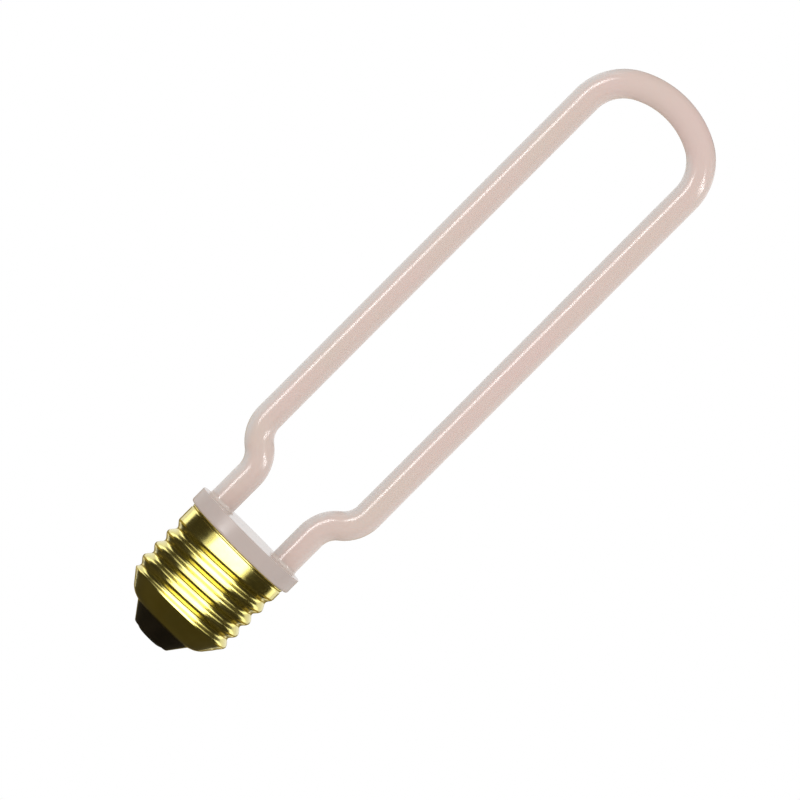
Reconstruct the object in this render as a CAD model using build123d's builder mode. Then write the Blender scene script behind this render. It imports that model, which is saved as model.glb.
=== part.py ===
from build123d import *
import os
from math import acos, asin, cos, degrees

# Screw-cap LED lamp: a hairpin loop of milky tube that stands on a collar, with its driver in the cap.
# Millimetres. +Z runs from the centre contact to the top of the loop, the loop lies in the XZ plane, and
# the origin is the middle of the contact's face.

# Tube loop, by its centreline
overall_height = 160.8
tube_diameter = 6.3
leg_spacing = 29.6
foot_spacing = 18.3
foot_length = 8.9
bend_radius = 7.4
shoulder_radius = 11.2
crown_flattening = 4.24

# Flat leads to the driver board, from the ends of the tube, the centre contact and the shell
lead_width = 0.8
lead_thickness = 0.25
tube_lead_length = 8.6
tube_lead_margin = 1.0
neutral_lead_overlap = 1.6
neutral_lead_rise = 1.2

# Centre contact: a flat head with a sloping rim, and a shank through the insulator
contact_diameter = 7.8
contact_flat_diameter = 5.2
contact_height = 0.5
shank_diameter = 2.6
shank_rise = 0.4

# Insulator: a cone below the shell's lip and a neck fused in it
insulator_tip_diameter = 9.2
insulator_height = 3.85

# Screw shell with the E27 knuckle thread
shell_height = 22.72
shell_wall = 0.45
lip_thickness = 0.65
lip_width = 2.6
lip_rise = 1.41
shoulder_width = 1.95
shoulder_height = 2.44
thread_diameter = 26.14
thread_depth = 1.02
thread_pitch = 3.629
thread_crest_width = 0.9
thread_root_width = 0.9
thread_overcut = 0.15
first_crest_rise = 5.47
land_height = 3.19

# Collar: a flange with two sockets, and a plug that the shell is pressed on
flange_thickness = 3.43
socket_wall = 1.7
socket_floor = 0.5
plug_depth = 4.5

# Driver board, upright in a slot of the plug, and the components on its two faces
board_thickness = 1.0
board_side_gap = 1.45
board_floor_gap = 2.5
board_slot_depth = 1.5
rectifier_size = (4.8, 3.9, 1.5)
chip_size = (4.9, 3.9, 1.5)
fuse_size = (6.3, 3.2, 0.9)
capacitor_size = (9.0, 7.5, 5.0)
component_gap = 0.8
component_margin = 1.0
package_chamfer = 0.35

# Clearance between pieces that are pressed or cemented together
fit = 0.05

# Radii and offsets from the axis that several pieces share
tube_radius = tube_diameter / 2
leg_offset = leg_spacing / 2
foot_offset = foot_spacing / 2
crest_radius = thread_diameter / 2
root_radius = crest_radius - thread_depth
corner_radius = root_radius - shoulder_width
lip_radius = corner_radius - lip_width
bore_radius = root_radius - shell_wall
plug_radius = bore_radius - fit
socket_radius = tube_radius + fit
flange_radius = foot_offset + socket_radius + socket_wall
shank_radius = shank_diameter / 2
board_edge = bore_radius - board_side_gap
board_face = board_thickness / 2
lead_offset = board_edge - tube_lead_margin
lead_middle = board_face + lead_thickness / 2

# Heights of the stack, from the contact up
lip_height = contact_height + insulator_height
lip_top = lip_height + lip_thickness
shank_top = lip_top + shank_rise
corner_height = lip_height + lip_rise
shoulder_top = corner_height + shoulder_height
thread_bottom = corner_height + shoulder_height * (crest_radius - corner_radius) / shoulder_width
shell_top = lip_height + shell_height
land_bottom = shell_top - land_height
plug_bottom = shell_top - plug_depth
flange_top = shell_top + flange_thickness
socket_bottom = shell_top + socket_floor
board_top = plug_bottom + board_slot_depth
board_bottom = shoulder_top + board_floor_gap

# Loop: an S-bend of two equal arcs in each leg, and an arch of two shoulders and a wider crown
bend_angle = degrees(acos(1 - (leg_offset - foot_offset) / (2 * bend_radius)))
crown_radius = leg_offset + crown_flattening
crown_turn = asin((leg_offset - shoulder_radius) / (crown_radius - shoulder_radius))
arch_rise = crown_radius - (crown_radius - shoulder_radius) * cos(crown_turn)
arch_bottom = overall_height - tube_radius - arch_rise


def tube_lead(side):
    """Flat lead from an end of the tube, through the plug and down the board's face; side is 1 or -1."""
    with BuildPart() as lead:
        with BuildSketch(Plane.XY.offset(socket_bottom)):
            with Locations((side * lead_offset, lead_middle)):
                Rectangle(lead_width, lead_thickness)
        extrude(amount=-tube_lead_length)
    return lead


def package(size, middle, face):
    """Moulded package flat on one face of the board; face is 1 or -1, middle is (x, z)."""
    length, height, depth = size
    with BuildPart() as body:
        with BuildSketch(Plane.XZ.offset(-face * board_face)):
            with Locations(middle):
                Rectangle(length, height)
        extrude(amount=-face * depth)
        outer_face = body.faces().sort_by(Axis.Y)[-1 if face > 0 else 0]
        chamfer(outer_face.edges(), package_chamfer)
    return body


# Milky tube, swept along the loop from the right foot over the arch to the left one
with BuildPart() as light_tube:
    with BuildLine(Plane.XZ) as loop:
        foot = Line((foot_offset, socket_bottom), (foot_offset, flange_top + foot_length))
        bend_out = JernArc(foot @ 1, foot % 1, bend_radius, -bend_angle)
        bend_up = JernArc(bend_out @ 1, bend_out % 1, bend_radius, bend_angle)
        leg = Line(bend_up @ 1, (leg_offset, arch_bottom))
        shoulder = JernArc(leg @ 1, leg % 1, shoulder_radius, 90 - degrees(crown_turn))
        mirror(about=Plane.YZ)
        JernArc(shoulder @ 1, shoulder % 1, crown_radius, 2 * degrees(crown_turn))
    with BuildSketch(Plane(loop.wire() @ 0, x_dir=(-1, 0, 0), z_dir=loop.wire() % 0)):
        Circle(tube_radius)
    sweep(path=loop.wire())

tube_lead_right = tube_lead(1)
tube_lead_left = tube_lead(-1)

# Collar: flange and plug in one moulding, with sockets for the tube and slots for the board and its leads
with BuildPart() as collar:
    with BuildSketch(Plane.XZ):
        with BuildLine():
            Polyline(
                (0, plug_bottom),
                (plug_radius, plug_bottom),
                (plug_radius, shell_top),
                (flange_radius, shell_top),
                (flange_radius, flange_top),
                (0, flange_top),
                close=True,
            )
        make_face()
    revolve(axis=Axis.Z)
    with Locations((foot_offset, 0, flange_top), (-foot_offset, 0, flange_top)):
        Hole(socket_radius, flange_top - socket_bottom)
    with BuildSketch(Plane.XY.offset(plug_bottom)):
        Rectangle(2 * (board_edge + fit), board_thickness + 2 * fit)
    extrude(amount=board_slot_depth, mode=Mode.SUBTRACT)
    with BuildSketch(Plane.XY.offset(plug_bottom)):
        with Locations((lead_offset, lead_middle), (-lead_offset, lead_middle)):
            Rectangle(lead_width + 2 * fit, lead_thickness + 2 * fit)
    extrude(amount=socket_bottom - plug_bottom, mode=Mode.SUBTRACT)

# Screw shell: a turned cup, with the helical groove between the thread's crests cut into its wall
groove_half = (thread_pitch - thread_crest_width) / 2
root_half = thread_root_width / 2
mouth_half = groove_half + (groove_half - root_half) * thread_overcut / thread_depth
groove_bottom = lip_height + first_crest_rise - 1.5 * thread_pitch
groove_height = land_bottom - groove_half - groove_bottom
with BuildPart() as screw_shell:
    with BuildSketch(Plane.XZ):
        with BuildLine():
            Polyline(
                (lip_radius, lip_height),
                (corner_radius, corner_height),
                (crest_radius, thread_bottom),
                (crest_radius, shell_top),
                (bore_radius, shell_top),
                (bore_radius, shoulder_top),
                (lip_radius, lip_top),
                close=True,
            )
        make_face()
    revolve(axis=Axis.Z)
    with BuildLine() as groove_path:
        Helix(thread_pitch, groove_height, root_radius, center=(0, 0, groove_bottom))
    with BuildSketch(Plane(groove_path.line @ 0, x_dir=(1, 0, 0), z_dir=groove_path.line % 0)):
        with BuildLine():
            Polyline(
                (0, -root_half),
                (thread_depth + thread_overcut, -mouth_half),
                (thread_depth + thread_overcut, mouth_half),
                (0, root_half),
                close=True,
            )
        make_face()
    sweep(path=groove_path.line, is_frenet=True, mode=Mode.SUBTRACT)

# Insulator
with BuildPart() as insulator:
    with BuildSketch(Plane.XZ):
        with BuildLine():
            Polyline(
                (shank_radius + fit, contact_height),
                (insulator_tip_diameter / 2, contact_height),
                (lip_radius - fit, lip_height),
                (lip_radius - fit, lip_top),
                (shank_radius + fit, lip_top),
                close=True,
            )
        make_face()
    revolve(axis=Axis.Z)

# Centre contact
with BuildPart() as centre_contact:
    with BuildSketch(Plane.XZ):
        with BuildLine():
            Polyline(
                (0, 0),
                (contact_flat_diameter / 2, 0),
                (contact_diameter / 2, contact_height),
                (shank_radius, contact_height),
                (shank_radius, shank_top),
                (0, shank_top),
                close=True,
            )
        make_face()
    revolve(axis=Axis.Z)

# Driver board with its components: rectifier and chip above the fuse on one face, capacitor on the other
with BuildPart() as driver_board:
    with BuildSketch(Plane.XY.offset(board_bottom)):
        Rectangle(2 * board_edge, board_thickness)
    extrude(amount=board_top - board_bottom)

fuse_middle = board_bottom + component_margin + fuse_size[1] / 2
fuse_top = fuse_middle + fuse_size[1] / 2
rectifier_middle = (-(rectifier_size[0] + component_gap) / 2, fuse_top + component_gap + rectifier_size[1] / 2)
chip_middle = ((chip_size[0] + component_gap) / 2, fuse_top + component_gap + chip_size[1] / 2)
capacitor_middle = (plug_bottom + board_bottom) / 2
bridge_rectifier = package(rectifier_size, rectifier_middle, 1)
driver_chip = package(chip_size, chip_middle, 1)
fuse_resistor = package(fuse_size, (0, fuse_middle), 1)
smoothing_capacitor = package(capacitor_size, (0, capacitor_middle), -1)

# Live lead, on the axis from the contact's shank to the lower edge of the board
with BuildPart() as live_lead:
    with BuildSketch(Plane.XY.offset(shank_top)):
        Rectangle(lead_width, lead_thickness)
    extrude(amount=board_bottom - shank_top)

# Neutral lead, from the board's face out to the shell's bore
with BuildPart() as neutral_lead:
    neutral_inner = board_edge - neutral_lead_overlap
    neutral_outer = bore_radius - fit
    with BuildSketch(Plane.YZ.offset(-neutral_inner)):
        with Locations((lead_middle, board_bottom + neutral_lead_rise + lead_width / 2)):
            Rectangle(lead_thickness, lead_width)
    extrude(amount=neutral_inner - neutral_outer)

pieces = {
    "light_tube": light_tube,
    "tube_lead_left": tube_lead_left,
    "tube_lead_right": tube_lead_right,
    "collar": collar,
    "screw_shell": screw_shell,
    "insulator": insulator,
    "centre_contact": centre_contact,
    "driver_board": driver_board,
    "bridge_rectifier": bridge_rectifier,
    "driver_chip": driver_chip,
    "fuse_resistor": fuse_resistor,
    "smoothing_capacitor": smoothing_capacitor,
    "live_lead": live_lead,
    "neutral_lead": neutral_lead,
}

os.makedirs("parts", exist_ok=True)
for piece_name, piece in pieces.items():
    piece.part.label = piece_name
    export_step(piece.part, f"parts/{piece_name}.step")
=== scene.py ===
"""Hairpin lamp: the looks of a screw-cap lamp with a loop of milky tube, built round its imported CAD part."""

from math import acos, asin, atan2, cos, floor, hypot, pi, radians, sin, tau

import bmesh
import bpy
from bpy.props import FloatProperty, FloatVectorProperty, IntProperty, PointerProperty
from mathutils import Matrix, Vector


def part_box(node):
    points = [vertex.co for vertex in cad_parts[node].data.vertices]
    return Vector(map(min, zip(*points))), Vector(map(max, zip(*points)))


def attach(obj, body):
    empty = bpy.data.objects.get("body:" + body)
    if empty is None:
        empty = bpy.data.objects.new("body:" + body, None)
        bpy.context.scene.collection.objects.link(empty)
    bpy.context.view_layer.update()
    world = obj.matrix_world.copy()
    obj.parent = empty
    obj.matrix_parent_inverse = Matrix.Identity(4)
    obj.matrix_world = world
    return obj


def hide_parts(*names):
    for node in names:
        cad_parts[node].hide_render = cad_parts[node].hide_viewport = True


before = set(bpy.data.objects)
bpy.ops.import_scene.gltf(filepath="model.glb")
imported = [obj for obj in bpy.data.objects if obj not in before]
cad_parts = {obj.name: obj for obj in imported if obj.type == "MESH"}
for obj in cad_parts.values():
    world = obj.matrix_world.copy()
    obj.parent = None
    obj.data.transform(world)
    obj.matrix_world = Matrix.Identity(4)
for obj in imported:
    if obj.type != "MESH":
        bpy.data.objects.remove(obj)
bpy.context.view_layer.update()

bl_info = {
    "name": "Hairpin Lamp",
    "version": (1, 0, 0),
    "blender": (4, 5, 0),
    "location": "3D View > Sidebar > Lamp",
    "description": "Builds a screw-cap lamp with a hairpin loop of milky tube, and its studio",
    "category": "Add Mesh",
}

MM = 0.001
UP = Vector((0, 0, 1))
LEFT = Vector((-1, 0, 0))
RIGHT = Vector((1, 0, 0))

# Distances within which vertices are merged, and within which two places are taken as one
MERGE_DISTANCE = 0.002 * MM
NEAR = 0.01 * MM

# Steps of the shell's rounded upper edge, of a fillet round a foot, and of a curved flag
LAND_STEPS = 5
FILLET_STEPS = 8
FLAG_STEPS = 24

# Lower lip of the shell from its edge to the shoulder, as (radius, height) in millimetres
LIP_POINTS = ((7.5, 4.35), (7.7, 4.39), (7.95, 4.48), (8.45, 4.67), (9.0, 4.92), (9.6, 5.33))

# Share of a quarter of the blend that is taken off the middle of a softened edge
SOFT_EDGE = 0.9

# How far the paler tint round a foot spreads over the collar, in sizes of its fillet; the tint is the tube's
# colour carried into the collar, and painted light over the shade in the concave fillet
FOOT_TINT_AND_PAINTED_LIGHT_REACH = 1.3

# Roughness of every noise texture, and the stretch that most of its values lie in
NOISE_ROUGHNESS = 0.55
NOISE_RANGE = (0.3, 0.7)

# Sockets of a Mix node, which has a set with the same names for each type of data
MIX_FACTOR = 0
MIX_NUMBERS = (2, 3)
MIX_NUMBER_RESULT = 0
MIX_COLOURS = (6, 7)
MIX_COLOUR_RESULT = 2

# Flags round the lamp and the floor below it, in metres and linear colours
FLAG_REACH = 0.6
FLAG_BOTTOM = -0.13
FLAG_TONES = ((0.031, 0.023, 0.005), (0.043, 0.032, 0.008))
FLOOR_REACH = 12
FLOOR_FADE = (0.5, 1.2)
FLOOR_TONES = ((0.84, 0.84, 0.84), (0.87, 0.87, 0.87))


def length(name, description, millimetres):
    """A size in metres, shown as a length."""
    return FloatProperty(
        name=name, description=description, default=millimetres * MM, min=0, unit="LENGTH", precision=5
    )


def number(name, description, value):
    """A number without a unit."""
    return FloatProperty(name=name, description=description, default=value)


def colour(name, description, value):
    """A linear colour, shown as a swatch."""
    return FloatVectorProperty(
        name=name, description=description, default=value, min=0, max=1, subtype="COLOR"
    )


class LampTubeSizes(bpy.types.PropertyGroup):
    """Sizes of the milky tube that its CAD box doesn't give."""

    foot_offset: length("Foot offset", "From the lamp's axis to the middle of a foot", 9.15)
    foot_length: length("Foot length", "Straight part of a foot above the collar", 8.9)
    bend_radius: length("Bend radius", "Radius of the two arcs of an S-bend", 7.4)
    shoulder_radius: length("Shoulder radius", "Radius of the arch beside a leg", 11.2)
    crown_flattening: length("Crown flattening", "How much wider the crown is than a half circle", 4.24)
    around: IntProperty(name="Around", description="Faces round the tube", default=64, min=12)


class LampCapSizes(bpy.types.PropertyGroup):
    """Sizes of the collar and the screw cap that their CAD boxes don't give."""

    foot_gap: length("Foot gap", "Between the tube and the collar's socket", 0.02)
    foot_fillet: length("Foot fillet", "Rise of the collar round each foot of the tube", 0.8)
    collar_lower_round: length("Collar lower round", "Rounding of the collar's lower edge", 0.5)
    collar_upper_round: length("Collar upper round", "Rounding of the collar's upper edge", 0.14)
    collar_rise: length("Collar rise", "How far the collar's top stands above its CAD flange", 0.33)
    plug_radius: length("Plug radius", "Radius of the collar's plug in the shell", 11.55)
    thread_depth: length("Thread depth", "From crest to root of the thread", 1.02)
    thread_pitch: length("Thread pitch", "Rise of the thread in one turn", 3.629)
    groove_start: length("Groove start", "Height of the groove's middle where it begins, at +X", 4.3765)
    groove_turns: number("Groove turns", "Turns of the groove up to its end", 5.2)
    groove_fade: number("Groove fade", "Turns over which the groove runs out before its end", 0.3)
    crest_fullness: number("Crest fullness", "Above 1, crests are wider than roots", 1.1)
    land_round: length("Land round", "Rounding of the shell's upper edge", 0.35)
    neck_reach: length("Neck reach", "Half the height of the shallow neck under that edge", 0.33)
    neck_depth: length("Neck depth", "Depth of that neck", 0.14)
    corner_radius: length("Corner radius", "Radius of the shell where its lip meets the shoulder", 10.1)
    corner_height: length("Corner height", "Height of that corner above the contact's face", 5.76)
    shoulder_width: length("Shoulder width", "Width of the shoulder's slope up to the root", 1.95)
    shoulder_height: length("Shoulder height", "Height of the shoulder's slope up to the root", 2.44)
    shoulder_blend: length("Shoulder blend", "Softening between the shoulder and the thread", 0.35)
    shell_wall: length("Shell wall", "Thickness of the shell at the root of the thread", 0.45)
    bore_bottom: length("Bore bottom", "Height of the lower end of the shell's bore", 8.2)
    lip_top: length("Lip top", "Height of the upper edge of the shell's lip", 5.0)
    row_height: length("Row height", "Height of one row of faces on the thread", 0.11)
    insulator_tip: length("Insulator tip", "Radius of the insulator's lower end", 4.6)
    insulator_hole: length("Insulator hole", "Radius of the hole through the insulator", 1.35)
    insulator_round: length("Insulator round", "Rounding of the insulator's lower edge", 0.3)
    contact_flat: length("Contact flat", "Radius of the contact's flat face", 2.6)
    contact_shank: length("Contact shank", "Radius of the contact's shank", 1.3)
    contact_round: length("Contact round", "Rounding of the contact's flat face", 0.35)
    around: IntProperty(name="Around", description="Faces round the cap", default=192, min=24)


class LampColours(bpy.types.PropertyGroup):
    """Colours of the lamp's surfaces."""

    tube: colour("Tube", "Milky tube", (0.7, 0.57, 0.5))
    tube_shade: colour("Tube shade", "Pinker patches of the milky tube", (0.725, 0.56, 0.51))
    # Painted reflection: greyer, paler tone on the side of the tube facing -X, standing in for the sheen of a
    # light on the left
    tube_painted_sheen_left: colour("Tube clear side", "Side of the tube away from its warm core", (0.715, 0.655, 0.62))
    # Painted light: paler, pinker tone on the side of the tube facing +X
    tube_painted_light_right: colour("Tube pink side", "Side of the tube across from the clear one", (0.755, 0.635, 0.58))
    # Partly the tube's colour round a foot, partly painted light: paler than the collar, to cancel the shade
    # that falls in the concave fillet
    foot: colour("Foot", "Milky collar where it rises round a foot", (0.78, 0.66, 0.59))
    collar: colour("Collar", "Milky collar", (0.575, 0.49, 0.45))
    collar_shade: colour("Collar shade", "Fainter patches of the collar", (0.54, 0.45, 0.41))
    brass: colour("Brass", "Rolled brass", (0.75, 0.66, 0.22))
    brass_shade: colour("Brass shade", "Tarnish on the brass", (0.66, 0.56, 0.145))
    insulator: colour("Insulator", "Black insulator", (0.005, 0.0035, 0.002))
    insulator_shade: colour("Insulator shade", "Paler flow marks in the insulator", (0.011, 0.0075, 0.004))
    contact: colour("Contact", "Blackened centre contact", (0.012, 0.01, 0.008))
    contact_shade: colour("Contact shade", "Worn patches of the contact", (0.03, 0.026, 0.021))
    solder: colour("Tinned metal", "Tinned leads", (0.62, 0.61, 0.58))
    board: colour("Board", "Driver board", (0.5, 0.46, 0.32))
    package: colour("Package", "Moulded packages", (0.02, 0.02, 0.021))
    capacitor: colour("Capacitor", "Capacitor case", (0.27, 0.03, 0.015))


class LampStudio(bpy.types.PropertyGroup):
    """Camera, light and floor of the studio."""

    distance: length("Camera distance", "From the camera to its target", 1200)
    frame_width: length("Frame width", "Width that the picture shows at the target", 168.8)
    target: FloatVectorProperty(
        name="Target",
        description="Middle of the picture",
        default=(0.0022, 0, 0.073),
        subtype="XYZ",
        unit="LENGTH",
    )
    elevation: FloatProperty(
        name="Elevation", description="Camera above the horizon", default=radians(1.2), subtype="ANGLE"
    )
    lean: FloatProperty(
        name="Lean",
        description="How far the lamp leans in the picture",
        default=radians(44.94),
        subtype="ANGLE",
    )
    floor_drop: length("Floor drop", "From the lamp's tip down to the floor", 250)
    soft_level: number("Soft level", "Level of the studio's soft light", 0.88)


def put_in_place(name, bm, material, node, sharp_angle=35):
    """Makes a smooth-shaded object of a bmesh, in place of one node of the CAD part."""
    bmesh.ops.remove_doubles(bm, verts=bm.verts, dist=MERGE_DISTANCE)
    bmesh.ops.recalc_face_normals(bm, faces=bm.faces)
    mesh = bpy.data.meshes.new(name)
    bm.to_mesh(mesh)
    bm.free()
    mesh.shade_smooth()
    mesh.set_sharp_from_angle(angle=radians(sharp_angle))
    mesh.materials.append(material)
    piece = bpy.data.objects.new(name, mesh)
    bpy.context.scene.collection.objects.link(piece)
    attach(piece, "root")
    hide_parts(node)
    return piece


def even_normals(piece):
    """Lets the large faces set the shading beside a narrow rounding."""
    weighted = piece.modifiers.new("even normals", "WEIGHTED_NORMAL")
    weighted.keep_sharp = True


def chain(bm, places):
    """Adds a row of vertices with an edge from each to the next, and gives both lists."""
    verts = [bm.verts.new(place) for place in places]
    edges = [bm.edges.new(pair) for pair in zip(verts, verts[1:])]
    return verts, edges


def lathe(bm, outline, steps):
    """Spins an outline of (radius, height) points, closed on itself or on the axis, into a turned body."""
    verts, edges = chain(bm, [(radius, 0, height) for radius, height in outline])
    if outline[0][0] > 0:
        edges.append(bm.edges.new((verts[-1], verts[0])))
    bmesh.ops.spin(
        bm,
        geom=verts + edges,
        cent=(0, 0, 0),
        axis=UP,
        angle=tau,
        steps=steps,
        use_merge=True,
        use_duplicate=False,
    )
    bmesh.ops.remove_doubles(bm, verts=bm.verts, dist=MERGE_DISTANCE)


def round_ring(bm, radius, height, amount, segments=5):
    """Rounds the ring of edges at one radius and height of a turned body."""

    def on_ring(place):
        return abs(hypot(place.x, place.y) - radius) < NEAR and abs(place.z - height) < NEAR

    ring = [edge for edge in bm.edges if all(on_ring(vert.co) for vert in edge.verts)]
    if not ring:
        raise RuntimeError("no ring of edges to round")
    bmesh.ops.bevel(
        bm,
        geom=ring,
        offset=amount,
        offset_type="OFFSET",
        segments=segments,
        profile=0.5,
        affect="EDGES",
        material=-1,
    )


def push_ring(bm, ring, axis, factor, lift):
    """Extrudes a ring of edges, scaled about an upright axis and lifted, and gives the new ring."""
    made = bmesh.ops.extrude_edge_only(bm, edges=ring)["geom"]
    verts = [part for part in made if isinstance(part, bmesh.types.BMVert)]
    bmesh.ops.scale(bm, vec=(factor, factor, 1), space=Matrix.Translation(-axis), verts=verts)
    bmesh.ops.translate(bm, vec=UP * lift, verts=verts)
    fresh = set(verts)
    return [part for part in made if isinstance(part, bmesh.types.BMEdge) and set(part.verts) <= fresh]


def smooth_step(value):
    """Eases a value from 0 to 1."""
    clipped = min(max(value, 0.0), 1.0)
    return clipped * clipped * (3 - 2 * clipped)


def soft_min(first, second, blend):
    """The smaller of two radii, with the edge between them softened over a blend."""
    share = smooth_step(0.5 + (first - second) / (2 * blend))
    return min(first, second) - blend * share * (1 - share) * SOFT_EDGE


def shaded(tone, factor):
    """A darker or paler copy of a colour."""
    return [part * factor for part in tone]


class Finish:
    """A procedural material: a Principled shader with textures in the object's own coordinates."""

    def __init__(self, name):
        self.material = bpy.data.materials.new(name)
        self.material.use_nodes = True
        self.nodes = self.material.node_tree.nodes
        self.links = self.material.node_tree.links
        self.shader = self.nodes["Principled BSDF"]
        self.coordinates = self.nodes.new("ShaderNodeTexCoord")
        self.place = self.coordinates.outputs["Object"]

    def set(self, **values):
        """Sets sockets of the shader; an underscore in a name stands for a space."""
        for name, value in values.items():
            self.shader.inputs[name.replace("_", " ")].default_value = value

    def add(self, kind, **settings):
        """Adds a node with its settings."""
        node = self.nodes.new(kind)
        for name, value in settings.items():
            setattr(node, name, value)
        return node

    def noise(self, scale, stretch=(1, 1, 1), detail=4.0):
        """Noise in the object's coordinates, finer along the axes with a larger stretch."""
        mapping = self.add("ShaderNodeMapping")
        mapping.inputs["Scale"].default_value = stretch
        texture = self.add("ShaderNodeTexNoise")
        texture.inputs["Scale"].default_value = scale
        texture.inputs["Detail"].default_value = detail
        texture.inputs["Roughness"].default_value = NOISE_ROUGHNESS
        self.links.new(self.place, mapping.inputs["Vector"])
        self.links.new(mapping.outputs["Vector"], texture.inputs["Vector"])
        return texture.outputs["Fac"]

    def spread(self, value, start, end, low=0.0, high=1.0, interpolation="SMOOTHSTEP"):
        """Number that goes from low to high as a value goes from start to end, and stays there."""
        node = self.add("ShaderNodeMapRange", interpolation_type=interpolation)
        for name, amount in (("From Min", start), ("From Max", end), ("To Min", low), ("To Max", high)):
            node.inputs[name].default_value = amount
        self.links.new(value, node.inputs["Value"])
        return node.outputs["Result"]

    def facing(self, direction, start, end):
        """How far the surface faces a direction, from 0 at start to 1 at end."""
        turned = self.add("ShaderNodeVectorMath", operation="DOT_PRODUCT")
        turned.inputs[1].default_value = direction
        self.links.new(self.coordinates.outputs["Normal"], turned.inputs[0])
        return self.spread(turned.outputs["Value"], start, end)

    def near_feet(self, offset, start, end):
        """How near the surface is to the axis of a foot of the tube, from 1 at start to 0 at end."""
        split = self.add("ShaderNodeSeparateXYZ")
        across = self.add("ShaderNodeMath", operation="ABSOLUTE")
        beside = self.add("ShaderNodeMath", operation="SUBTRACT")
        beside.inputs[1].default_value = offset
        join = self.add("ShaderNodeCombineXYZ")
        reach = self.add("ShaderNodeVectorMath", operation="LENGTH")
        self.links.new(self.place, split.inputs["Vector"])
        self.links.new(split.outputs["X"], across.inputs[0])
        self.links.new(across.outputs["Value"], beside.inputs[0])
        self.links.new(beside.outputs["Value"], join.inputs["X"])
        self.links.new(split.outputs["Y"], join.inputs["Y"])
        self.links.new(join.outputs["Vector"], reach.inputs[0])
        return self.spread(reach.outputs["Value"], end, start)

    def blend(self, factor, low, high, start=0.35, end=0.65):
        """Colours the surface from low to high over the given stretch of the factor."""
        ramp = self.add("ShaderNodeValToRGB")
        for element, position, tone in zip(ramp.color_ramp.elements, (start, end), (low, high)):
            element.position = position
            element.color = (*tone, 1)
        self.links.new(factor, ramp.inputs["Fac"])
        self.tone = ramp.outputs["Color"]
        self.links.new(self.tone, self.shader.inputs["Base Color"])

    def tint(self, over, factor):
        """Lays another colour over the colour so far."""
        mix = self.add("ShaderNodeMix", data_type="RGBA")
        below, above = MIX_COLOURS
        mix.inputs[above].default_value = (*over, 1)
        self.links.new(factor, mix.inputs[MIX_FACTOR])
        self.links.new(self.tone, mix.inputs[below])
        self.tone = mix.outputs[MIX_COLOUR_RESULT]
        self.links.new(self.tone, self.shader.inputs["Base Color"])

    def roughen(self, factor, low, high):
        """Lets the roughness vary from low to high with a noise."""
        self.gloss = self.spread(factor, *NOISE_RANGE, low, high, "LINEAR")
        self.links.new(self.gloss, self.shader.inputs["Roughness"])

    def polish(self, factor, roughness):
        """Gives part of the surface a roughness of its own."""
        mix = self.add("ShaderNodeMix")
        below, above = MIX_NUMBERS
        mix.inputs[above].default_value = roughness
        self.links.new(factor, mix.inputs[MIX_FACTOR])
        self.links.new(self.gloss, mix.inputs[below])
        self.gloss = mix.outputs[MIX_NUMBER_RESULT]
        self.links.new(self.gloss, self.shader.inputs["Roughness"])

    def relief(self, height, depth):
        """Fine relief of the given depth in metres."""
        bump = self.add("ShaderNodeBump")
        bump.inputs["Strength"].default_value = 1.0
        bump.inputs["Distance"].default_value = depth
        self.links.new(height, bump.inputs["Height"])
        self.links.new(bump.outputs["Normal"], self.shader.inputs["Normal"])


def milky_finish(name, tone, shade, roughness, depth):
    """Milky moulded or blown material that lets some light in."""
    finish = Finish(name)
    finish.set(IOR=1.46, Specular_IOR_Level=0.3)
    finish.set(Subsurface_Weight=0.15, Subsurface_Scale=1.5 * MM, Subsurface_Radius=(1.0, 0.72, 0.6))
    finish.blend(finish.noise(scale=45, detail=3), shade, tone)
    finish.roughen(finish.noise(scale=260), low=0.85 * roughness, high=1.2 * roughness)
    finish.relief(finish.noise(scale=120, detail=1), depth)
    return finish


def brass_finish(tone, shade):
    """Bright rolled brass with fine lines round it and a little tarnish."""
    finish = Finish("rolled brass")
    finish.set(Metallic=1.0)
    finish.blend(finish.noise(scale=160, detail=6), shade, tone, start=0.3, end=0.6)
    finish.roughen(finish.noise(scale=120, stretch=(1, 1, 14), detail=6), low=0.14, high=0.22)
    finish.relief(finish.noise(scale=90, stretch=(1, 1, 40), detail=3), depth=0.004 * MM)
    return finish.material


def plain_finish(name, tone, shade, roughness, metallic=0.0, scale=400):
    """Moulded or metal surface with patches of a second tone and a fine grain."""
    finish = Finish(name)
    finish.set(Metallic=metallic)
    finish.blend(finish.noise(scale, detail=5), shade, tone)
    finish.roughen(finish.noise(scale=1.7 * scale), low=0.8 * roughness, high=1.25 * roughness)
    finish.relief(finish.noise(scale=4 * scale, detail=2), depth=0.01 * MM)
    return finish.material


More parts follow.
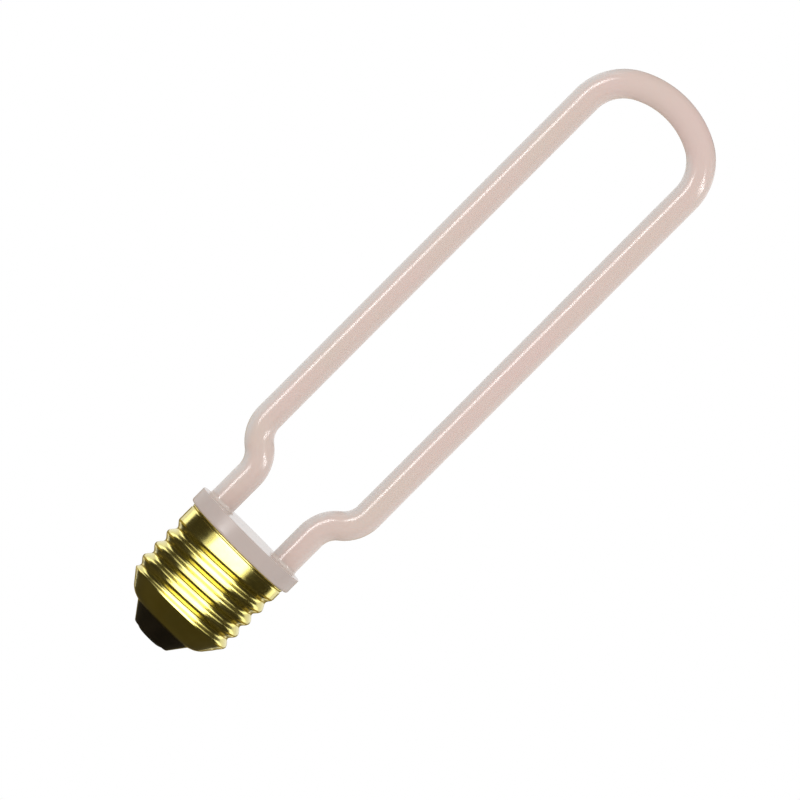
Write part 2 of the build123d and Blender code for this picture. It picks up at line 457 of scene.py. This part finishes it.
class LAMP_OT_light_tube(bpy.types.Operator):
    """Bend the milky tube into its hairpin loop"""

    bl_idname = "lamp.light_tube"
    bl_label = "Light Tube"

    def execute(self, context):
        sizes = context.scene.lamp_tube
        colours = context.scene.lamp_colours
        low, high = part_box("light_tube")
        flange_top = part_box("collar")[1].z
        radius = high.y
        leg_offset = high.x - radius
        bend_angle = acos(1 - (leg_offset - sizes.foot_offset) / (2 * sizes.bend_radius))
        crown_radius = leg_offset + sizes.crown_flattening
        arch_reach = crown_radius - sizes.shoulder_radius
        crown_turn = asin((leg_offset - sizes.shoulder_radius) / arch_reach)
        arch_bottom = high.z - radius - crown_radius + arch_reach * cos(crown_turn)

        # Half of the loop, from the end of the right foot to the top of the arch
        bm = bmesh.new()
        self.place = Vector((sizes.foot_offset, 0, low.z))
        self.heading = 0.0
        bmesh.ops.create_circle(
            bm, segments=sizes.around, radius=radius, matrix=Matrix.Translation(self.place)
        )
        foot_end = bm.edges[:]
        self.ring = bm.verts[:] + foot_end
        self.run(bm, flange_top + sizes.foot_length, steps=4)
        self.bend(bm, sizes.bend_radius, bend_angle, steps=20)
        self.bend(bm, sizes.bend_radius, -bend_angle, steps=20)
        self.run(bm, arch_bottom, steps=12)
        self.bend(bm, sizes.shoulder_radius, crown_turn - pi / 2, steps=28)
        self.bend(bm, crown_radius, -crown_turn, steps=16)
        bmesh.ops.edgeloop_fill(bm, edges=foot_end)
        half = bm.verts[:] + bm.edges[:] + bm.faces[:]
        bmesh.ops.mirror(bm, geom=half, axis="X", merge_dist=MERGE_DISTANCE)

        finish = milky_finish(
            "milky tube", colours.tube, colours.tube_shade, roughness=0.19, depth=0.002 * MM
        )
        # Painted reflection: the side facing -X is tinted greyer and paler, as a light on the left would show
        # in the gloss
        finish.tint(colours.tube_painted_sheen_left, finish.facing(LEFT, start=0.3, end=0.8))
        # Painted light: the side facing +X is tinted paler and pinker
        finish.tint(colours.tube_painted_light_right, finish.facing(RIGHT, start=0.35, end=0.85))
        put_in_place("loop_tube", bm, finish.material, "light_tube", sharp_angle=50)
        return {"FINISHED"}

    def run(self, bm, top, steps):
        """Takes the tube straight up to a height."""
        rise = top - self.place.z
        spun = bmesh.ops.spin(
            bm, geom=self.ring, axis=UP, dvec=UP * (rise / steps), angle=0, steps=steps, use_duplicate=False
        )
        self.ring = spun["geom_last"]
        self.place = self.place + UP * rise

    def bend(self, bm, radius, turn, steps):
        """Takes the tube round an arc in the XZ plane; a positive turn goes towards +X."""
        side = radius if turn > 0 else -radius
        centre = self.place + Vector((cos(self.heading), 0, -sin(self.heading))) * side
        spun = bmesh.ops.spin(
            bm, geom=self.ring, cent=centre, axis=(0, 1, 0), angle=turn, steps=steps, use_duplicate=False
        )
        self.ring = spun["geom_last"]
        self.place = centre + Matrix.Rotation(turn, 3, "Y") @ (self.place - centre)
        self.heading += turn


class LAMP_OT_collar(bpy.types.Operator):
    """Mould the collar that the tube stands in"""

    bl_idname = "lamp.collar"
    bl_label = "Collar"

    def execute(self, context):
        sizes = context.scene.lamp_cap
        tube = context.scene.lamp_tube
        colours = context.scene.lamp_colours
        low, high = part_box("collar")
        flange_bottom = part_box("screw_shell")[1].z
        tube_low, tube_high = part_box("light_tube")
        socket = tube_high.y + sizes.foot_gap
        fillet = sizes.foot_fillet
        axis = Vector((0, 0, 0))
        top = high.z + sizes.collar_rise

        # Flat top, with an opening for each foot
        bm = bmesh.new()
        place = Matrix.Translation(UP * top)
        bmesh.ops.create_circle(bm, segments=sizes.around, radius=high.x, matrix=place)
        rim = bm.edges[:]
        feet = []
        for side in (1, -1):
            foot = Vector((side * tube.foot_offset, 0, top))
            made = bmesh.ops.create_circle(
                bm, segments=tube.around, radius=socket + fillet, matrix=Matrix.Translation(foot)
            )
            ring = dict.fromkeys(edge for vert in made["verts"] for edge in vert.link_edges)
            feet.append((foot, list(ring)))
        bmesh.ops.triangle_fill(bm, edges=bm.edges[:], use_beauty=True)

        # Fillet up each foot, and the socket down to the end of the tube
        for foot, ring in feet:
            reach = socket + fillet
            risen = 0.0
            for step in range(1, FILLET_STEPS + 1):
                turn = pi / 2 * step / FILLET_STEPS
                radius = socket + fillet * (1 - sin(turn))
                rise = fillet * (1 - cos(turn))
                ring = push_ring(bm, ring, foot, radius / reach, rise - risen)
                reach = radius
                risen = rise
            drop = ring[0].verts[0].co.z - tube_low.z
            ring = push_ring(bm, ring, foot, 1, -drop)
            bmesh.ops.edgeloop_fill(bm, edges=ring)

        # Wall of the flange, its lower face and the plug
        ring = push_ring(bm, rim, axis, 1, flange_bottom - top)
        ring = push_ring(bm, ring, axis, sizes.plug_radius / high.x, 0)
        ring = push_ring(bm, ring, axis, 1, low.z - flange_bottom)
        bmesh.ops.edgeloop_fill(bm, edges=ring)
        round_ring(bm, high.x, top, sizes.collar_upper_round, segments=3)
        round_ring(bm, high.x, flange_bottom, sizes.collar_lower_round, segments=6)

        finish = milky_finish(
            "milky collar", colours.collar, colours.collar_shade, roughness=0.33, depth=0.006 * MM
        )
        near_foot = finish.near_feet(tube.foot_offset, socket, socket + FOOT_TINT_AND_PAINTED_LIGHT_REACH * fillet)
        # Painted light: the collar is made paler and pinker round each foot, the tube's colour together with a
        # lift over the shade in the fillet
        finish.tint(colours.foot, near_foot)
        finish.polish(finish.facing(UP, start=0.6, end=0.95), roughness=0.16)
        finish.polish(near_foot, roughness=0.2)
        piece = put_in_place("foot_collar", bm, finish.material, "collar", sharp_angle=40)
        even_normals(piece)
        return {"FINISHED"}


class LAMP_OT_screw_shell(bpy.types.Operator):
    """Roll the brass screw shell with its thread"""

    bl_idname = "lamp.screw_shell"
    bl_label = "Screw Shell"

    def execute(self, context):
        sizes = context.scene.lamp_cap
        colours = context.scene.lamp_colours
        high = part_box("screw_shell")[1]
        crest = high.y
        bore = crest - sizes.thread_depth - sizes.shell_wall
        corner = sizes.corner_height
        thread_top = high.z - sizes.land_round
        neck = thread_top - sizes.neck_reach

        # Outline of the cup: up the outside, over the rounded upper edge and down the bore
        outline = [(radius * MM, height * MM) for radius, height in LIP_POINTS]
        rows = round((thread_top - corner) / sizes.row_height)
        for row in range(rows + 1):
            height = corner + (thread_top - corner) * row / rows
            outline.append((min(crest, self.shoulder(sizes, height)), height))
        for step in range(1, LAND_STEPS + 1):
            turn = pi / 2 * step / LAND_STEPS
            inwards = sizes.land_round * (1 - cos(turn))
            outline.append((crest - inwards, thread_top + sizes.land_round * sin(turn)))
        outline += [(bore, high.z), (bore, sizes.bore_bottom), (outline[0][0], sizes.lip_top)]
        bm = bmesh.new()
        lathe(bm, outline, sizes.around)

        # Thread and neck rolled into the outside, and softened where they meet the shoulder
        for vert in bm.verts:
            x, y, height = vert.co
            radius = hypot(x, y)
            if radius < bore + NEAR or not corner < height <= thread_top + NEAR:
                continue
            from_neck = min(abs(height - neck) / sizes.neck_reach, 1)
            necked = sizes.neck_depth * (0.5 + 0.5 * cos(pi * from_neck))
            rolled = crest - necked - self.groove_depth(sizes, height, atan2(y, x))
            fitted = soft_min(self.shoulder(sizes, height), rolled, sizes.shoulder_blend)
            vert.co.x *= fitted / radius
            vert.co.y *= fitted / radius
        finish = brass_finish(colours.brass, colours.brass_shade)
        put_in_place("threaded_shell", bm, finish, "screw_shell", sharp_angle=50)
        return {"FINISHED"}

    def shoulder(self, sizes, height):
        """Radius of the sloping shoulder, or of its continuation, at a height."""
        slope = sizes.shoulder_width / sizes.shoulder_height
        return sizes.corner_radius + (height - sizes.corner_height) * slope

    def groove_depth(self, sizes, height, angle):
        """Depth of the rolled groove below the crests at a height and an angle from +X."""
        part_turn = (angle % tau) / tau
        turns = (height - sizes.groove_start) / sizes.thread_pitch
        nearest = floor(turns - part_turn + 0.5) + part_turn
        from_crest = 1 - 2 * abs(turns - nearest)
        wave = 0.5 - 0.5 * cos(pi * max(from_crest, 0.0) ** sizes.crest_fullness)
        return sizes.thread_depth * wave * smooth_step((sizes.groove_turns - nearest) / sizes.groove_fade)


class LAMP_OT_insulator(bpy.types.Operator):
    """Turn the black insulator below the shell"""

    bl_idname = "lamp.insulator"
    bl_label = "Insulator"

    def execute(self, context):
        sizes = context.scene.lamp_cap
        colours = context.scene.lamp_colours
        low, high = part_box("insulator")
        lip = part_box("screw_shell")[0].z
        hole = sizes.insulator_hole
        tip = sizes.insulator_tip
        outline = [(hole, low.z), (tip, low.z), (high.x, lip), (high.x, high.z), (hole, high.z)]
        bm = bmesh.new()
        lathe(bm, outline, sizes.around)
        round_ring(bm, tip, low.z, sizes.insulator_round)
        finish = plain_finish(
            "black insulator", colours.insulator, colours.insulator_shade, roughness=0.16, scale=220
        )
        even_normals(put_in_place("insulator_cone", bm, finish, "insulator"))
        return {"FINISHED"}


class LAMP_OT_centre_contact(bpy.types.Operator):
    """Turn the centre contact at the lamp's tip"""

    bl_idname = "lamp.centre_contact"
    bl_label = "Centre Contact"

    def execute(self, context):
        sizes = context.scene.lamp_cap
        colours = context.scene.lamp_colours
        low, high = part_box("centre_contact")
        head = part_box("insulator")[0].z
        flat = sizes.contact_flat
        shank = sizes.contact_shank
        outline = [(0, low.z), (flat, low.z), (high.x, head), (shank, head), (shank, high.z), (0, high.z)]
        bm = bmesh.new()
        lathe(bm, outline, sizes.around // 2)
        round_ring(bm, flat, low.z, sizes.contact_round)
        finish = plain_finish(
            "dull contact", colours.contact, colours.contact_shade, roughness=0.4, metallic=1.0, scale=500
        )
        even_normals(put_in_place("tip_contact", bm, finish, "centre_contact"))
        return {"FINISHED"}


class LAMP_OT_driver(bpy.types.Operator):
    """Give the driver inside the cap its finishes"""

    bl_idname = "lamp.driver"
    bl_label = "Driver"

    def execute(self, context):
        colours = context.scene.lamp_colours
        solder = plain_finish(
            "tinned leads", colours.solder, shaded(colours.solder, 0.85), roughness=0.3, metallic=1.0
        )
        board = plain_finish("driver board", colours.board, shaded(colours.board, 0.85), roughness=0.55)
        package = plain_finish(
            "moulded package", colours.package, shaded(colours.package, 1.6), roughness=0.5
        )
        capacitor = plain_finish(
            "capacitor case", colours.capacitor, shaded(colours.capacitor, 0.8), roughness=0.25
        )
        finishes = {
            "tube_lead_left": solder,
            "tube_lead_right": solder,
            "live_lead": solder,
            "neutral_lead": solder,
            "driver_board": board,
            "bridge_rectifier": package,
            "driver_chip": package,
            "fuse_resistor": package,
            "smoothing_capacitor": capacitor,
        }
        for node, finish in finishes.items():
            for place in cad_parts[node].material_slots:
                place.material = finish
        return {"FINISHED"}


class LAMP_OT_studio(bpy.types.Operator):
    """Set up the floor, the flags, the lights and the camera"""

    bl_idname = "lamp.studio"
    bl_label = "Studio"

    def execute(self, context):
        studio = context.scene.lamp_studio
        context.scene.view_settings.view_transform = "Standard"
        self.white_world(context, studio)
        self.pale_floor(context, studio)
        self.flags(context)
        self.lights(context)
        self.camera(context, studio)
        return {"FINISHED"}

    def flags(self, context):
        """Dark cards round the lamp, which make the dark bands in its gloss."""
        self.side_flag(context, "left_flag", start=-117, end=-53, top=0.55)
        self.side_flag(context, "right_flag", start=48, end=117, top=0.55)
        self.side_flag(context, "left_low_flag", start=-155, end=-117, top=-0.03, inner=0.2, paler=12)
        self.side_flag(context, "right_low_flag", start=117, end=155, top=-0.03, inner=0.2, paler=12)
        self.side_flag(context, "back_flag", start=155, end=205, top=0.03, inner=0.2, paler=8)
        self.flat_flag(context, "lower_flag", height=-0.12, reach=0.26, back=0.115, paler=1.5)
        self.flat_flag(context, "upper_flag", height=0.62, reach=0.75, back=0.6)

    def lights(self, context):
        """Softboxes for the gloss of the brass, lights for the milky pieces, and a weak key light."""
        brass = self.receivers("brass pieces", ("threaded_shell",))
        milky = self.receivers("milky pieces", ("loop_tube", "foot_collar"))
        self.soft_light(
            context, "front_softbox", brass, radiance=3.2, angles=(0, 0), reach=1.5, size=(2.6, 3.6)
        )
        self.soft_light(
            context, "overhead_softbox", brass, radiance=3.0, angles=(0, 58), reach=1.0, size=(1.75, 0.7)
        )
        self.soft_light(
            context,
            "floor_softbox",
            brass,
            radiance=3.0,
            angles=(0, -20.8),
            reach=0.77,
            size=(1.0, 0.6),
            level=True,
        )
        for name, azimuth in (("left_edge_softbox", -128), ("right_edge_softbox", 128)):
            self.soft_light(
                context, name, brass, radiance=0.9, angles=(azimuth, 0), reach=1.2, size=(0.32, 1.8)
            )
        for name, azimuth in (("left_low_softbox", -152), ("right_low_softbox", 152)):
            self.soft_light(
                context, name, brass, radiance=0.9, angles=(azimuth, -34), reach=0.2, size=(0.026, 0.036)
            )
        self.soft_light(
            context, "strip_light", milky, radiance=18.0, angles=(-41, 8), reach=1.1, size=(0.3, 0.8)
        )
        self.soft_light(
            context, "high_light", milky, radiance=36.0, angles=(52, 21), reach=1.2, size=(0.87, 0.1)
        )
        self.soft_light(
            context, "key_light", None, radiance=0.3, angles=(0, 20), reach=1.4, size=(1.4, 1.4)
        )

    def white_world(self, context, studio):
        """White behind the lamp and in its gloss, and a plain soft level everywhere else."""
        world = bpy.data.worlds.new("studio white")
        world.use_nodes = True
        nodes = world.node_tree.nodes
        links = world.node_tree.links
        background = nodes["Background"]
        background.inputs["Color"].default_value = (1, 1, 1, 1)
        path = nodes.new("ShaderNodeLightPath")
        total = path.outputs["Is Camera Ray"]
        for name in ("Is Glossy Ray", "Is Transmission Ray"):
            add = nodes.new("ShaderNodeMath")
            add.operation = "ADD"
            add.use_clamp = True
            links.new(total, add.inputs[0])
            links.new(path.outputs[name], add.inputs[1])
            total = add.outputs["Value"]
        level = nodes.new("ShaderNodeMapRange")
        level.inputs["To Min"].default_value = studio.soft_level
        level.inputs["To Max"].default_value = 1.0
        links.new(total, level.inputs["Value"])
        links.new(level.outputs["Result"], background.inputs["Strength"])
        context.scene.world = world

    def stand(self, context, name, bm, material):
        """Links a piece of the studio that isn't part of the lamp."""
        mesh = bpy.data.meshes.new(name)
        bm.to_mesh(mesh)
        bm.free()
        mesh.shade_smooth()
        mesh.materials.append(material)
        piece = bpy.data.objects.new(name, mesh)
        context.scene.collection.objects.link(piece)
        return piece

    def pale_floor(self, context, studio):
        """A pale floor that turns into the white background away from the lamp."""
        bm = bmesh.new()
        place = Matrix.Translation(UP * -studio.floor_drop)
        bmesh.ops.create_grid(bm, x_segments=2, y_segments=2, size=FLOOR_REACH, matrix=place)
        finish = Finish("pale floor")
        finish.set(Roughness=0.85)
        finish.blend(finish.noise(scale=14), *FLOOR_TONES)
        distance = finish.add("ShaderNodeVectorMath", operation="LENGTH")
        white = finish.add("ShaderNodeEmission")
        mix = finish.add("ShaderNodeMixShader")
        links = finish.links
        links.new(finish.place, distance.inputs[0])
        links.new(finish.spread(distance.outputs["Value"], *FLOOR_FADE), mix.inputs["Fac"])
        links.new(finish.shader.outputs["BSDF"], mix.inputs[1])
        links.new(white.outputs["Emission"], mix.inputs[2])
        links.new(mix.outputs["Shader"], finish.nodes["Material Output"].inputs["Surface"])
        self.stand(context, "studio_floor", bm, finish.material)

    def flag(self, context, name, bm, paler):
        """A dark brown card that only the gloss of the lamp sees."""
        finish = Finish(name.replace("_", " "))
        finish.set(Roughness=0.9)
        low, high = FLAG_TONES
        finish.blend(finish.noise(scale=6), shaded(low, paler), shaded(high, paler))
        piece = self.stand(context, name, bm, finish.material)
        piece.visible_camera = False
        piece.visible_diffuse = False
        piece.visible_transmission = False
        piece.visible_shadow = False

    def side_flag(self, context, name, start, end, top, inner=0.05, paler=1):
        """A card curved round the lamp between two angles from the front, with a foot towards the lamp."""
        bm = bmesh.new()
        turn = radians(start)
        side = Vector((sin(turn), -cos(turn), 0))
        outer = side * FLAG_REACH
        bottom = UP * FLAG_BOTTOM
        verts, edges = chain(bm, [outer + UP * top, outer + bottom, side * inner + bottom])
        sweep = radians(end) - turn
        bmesh.ops.spin(bm, geom=verts + edges, axis=UP, angle=sweep, steps=FLAG_STEPS, use_duplicate=False)
        self.flag(context, name, bm, paler)

    def flat_flag(self, context, name, height, reach, back, paler=1):
        """A round card, level, below or above the lamp and towards its back."""
        bm = bmesh.new()
        place = Matrix.Translation((0, back, height))
        bmesh.ops.create_circle(bm, cap_ends=True, segments=2 * FLAG_STEPS, radius=reach, matrix=place)
        self.flag(context, name, bm, paler)

    def receivers(self, name, pieces):
        """The pieces of the lamp that a light is set up for."""
        group = bpy.data.collections.new(name)
        for piece in pieces:
            group.objects.link(bpy.data.objects[piece])
        return group

    def soft_light(self, context, name, pieces, radiance, angles, reach, size, level=False):
        """An area light at an azimuth and elevation from the camera's target, facing it or, if level, up.

        With pieces it shows only in their gloss. Without them it lights everything and shows in no gloss.
        """
        lamp = bpy.data.lights.new(name, "AREA")
        lamp.shape = "RECTANGLE"
        lamp.size, lamp.size_y = size
        lamp.energy = radiance * pi * lamp.size * lamp.size_y
        turn, rise = (radians(angle) for angle in angles)
        away = Vector((sin(turn) * cos(rise), -cos(turn) * cos(rise), sin(rise)))
        light = bpy.data.objects.new(name, lamp)
        light.location = Vector(context.scene.lamp_studio.target) + away * reach
        light.rotation_euler = (pi, 0, 0) if level else (-away).to_track_quat("-Z", "Y").to_euler()
        light.visible_camera = False
        light.visible_diffuse = pieces is None
        light.visible_glossy = pieces is not None
        light.light_linking.receiver_collection = pieces
        context.scene.collection.objects.link(light)

    def camera(self, context, studio):
        """A long lens in front of the loop, rolled so that the lamp leans in the picture."""
        data = bpy.data.cameras.new("camera")
        data.lens = data.sensor_width * studio.distance / studio.frame_width
        data.clip_end = 100
        rise = studio.elevation
        lean = studio.lean
        away = Vector((0, -cos(rise), sin(rise)))
        upright = Vector((0, sin(rise), cos(rise)))
        right = upright * sin(lean) + RIGHT * cos(lean)
        up = upright * cos(lean) - RIGHT * sin(lean)
        turn = Matrix((right, up, away)).transposed().to_4x4()
        camera = bpy.data.objects.new("camera", data)
        camera.matrix_world = Matrix.Translation(Vector(studio.target) + away * studio.distance) @ turn
        context.scene.collection.objects.link(camera)
        context.scene.camera = camera


class LAMP_PT_panel(bpy.types.Panel):
    """The lamp's sizes, colours and pieces"""

    bl_idname = "LAMP_PT_panel"
    bl_label = "Hairpin Lamp"
    bl_space_type = "VIEW_3D"
    bl_region_type = "UI"
    bl_category = "Lamp"

    def draw(self, context):
        scene = context.scene
        for group in (scene.lamp_tube, scene.lamp_cap, scene.lamp_colours, scene.lamp_studio):
            box = self.layout.box()
            for name in group.bl_rna.properties.keys():
                if name not in ("rna_type", "name"):
                    box.prop(group, name)
        for operator in OPERATORS:
            self.layout.operator(operator.bl_idname)


GROUPS = {
    "lamp_tube": LampTubeSizes,
    "lamp_cap": LampCapSizes,
    "lamp_colours": LampColours,
    "lamp_studio": LampStudio,
}
OPERATORS = (
    LAMP_OT_light_tube,
    LAMP_OT_collar,
    LAMP_OT_screw_shell,
    LAMP_OT_insulator,
    LAMP_OT_centre_contact,
    LAMP_OT_driver,
    LAMP_OT_studio,
)


def register():
    """Registers the classes and gives the scene its groups of settings."""
    for cls in (*GROUPS.values(), *OPERATORS, LAMP_PT_panel):
        bpy.utils.register_class(cls)
    for name, cls in GROUPS.items():
        setattr(bpy.types.Scene, name, PointerProperty(type=cls))


def unregister():
    """Takes the settings and the classes away again."""
    for name in GROUPS:
        delattr(bpy.types.Scene, name)
    for cls in (LAMP_PT_panel, *reversed(OPERATORS), *reversed(GROUPS.values())):
        bpy.utils.unregister_class(cls)


def main():
    """Registers the add-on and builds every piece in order."""
    register()
    bpy.ops.lamp.light_tube()
    bpy.ops.lamp.collar()
    bpy.ops.lamp.screw_shell()
    bpy.ops.lamp.insulator()
    bpy.ops.lamp.centre_contact()
    bpy.ops.lamp.driver()
    bpy.ops.lamp.studio()


if __name__ == "__main__":
    main()
